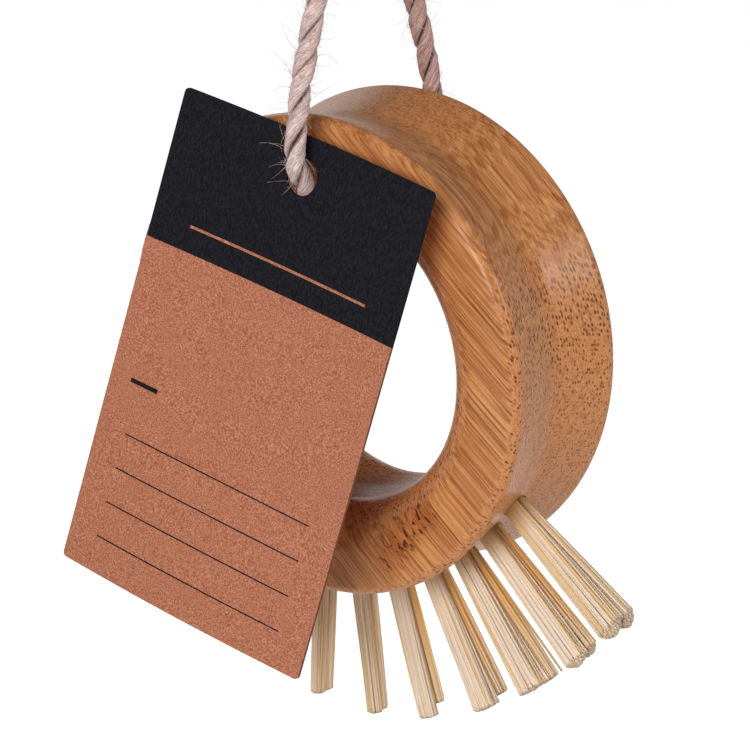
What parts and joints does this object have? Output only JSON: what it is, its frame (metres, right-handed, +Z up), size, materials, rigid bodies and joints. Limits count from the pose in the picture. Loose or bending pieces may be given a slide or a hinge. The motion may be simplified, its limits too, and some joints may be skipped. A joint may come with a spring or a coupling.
{
  "type": "vegetable brush",
  "caption": "Vegetable brush with a grooved bamboo ring handle and a fan of plant-fibre bristle tufts, hung by a twine loop that carries a card swing tag.",
  "frame": {"origin": "under the knot at the top of the twine loop, where a hook carries it", "axes": "+Z up, Y along the ring handle's axis with the swing tag on the -Y side, X across the ring"},
  "size_m": [0.0995, 0.057, 0.187],
  "materials": {
    "bamboo": "satin lacquered bamboo",
    "bristle": "matt dried plant fibre",
    "staple_wire": "drawn wire",
    "kraft_card": "uncoated kraft card",
    "jute": "hairy twisted jute"
  },
  "bodies": {
    "hanger": {"twine_loop": "jute", "twine_knot": "jute", "twine_tails": "jute"},
    "brush": {"ring_handle": "bamboo", "tuft_staples": "staple_wire", "bristle_tuft_01": "bristle", "bristle_tuft_02": "bristle", "bristle_tuft_03": "bristle", "bristle_tuft_04": "bristle", "bristle_tuft_05": "bristle", "bristle_tuft_06": "bristle", "bristle_tuft_07": "bristle", "bristle_tuft_08": "bristle", "bristle_tuft_09": "bristle", "bristle_tuft_10": "bristle"},
    "tag": {"swing_tag": "kraft_card"}
  },
  "joints": [
    {"name": "brush_swing", "type": "hinge", "parent": "hanger", "child": "brush", "pos_m": [0.00065, 0.00095, -0.07982], "axis": [0, 1, 0], "range_deg": [-30, 30]},
    {"name": "tag_swing", "type": "hinge", "parent": "hanger", "child": "tag", "pos_m": [0.00213, -0.01768, -0.07112], "axis": [-0.0179, 0.9785, -0.2056], "range_deg": [-62, 38]}
  ]
}
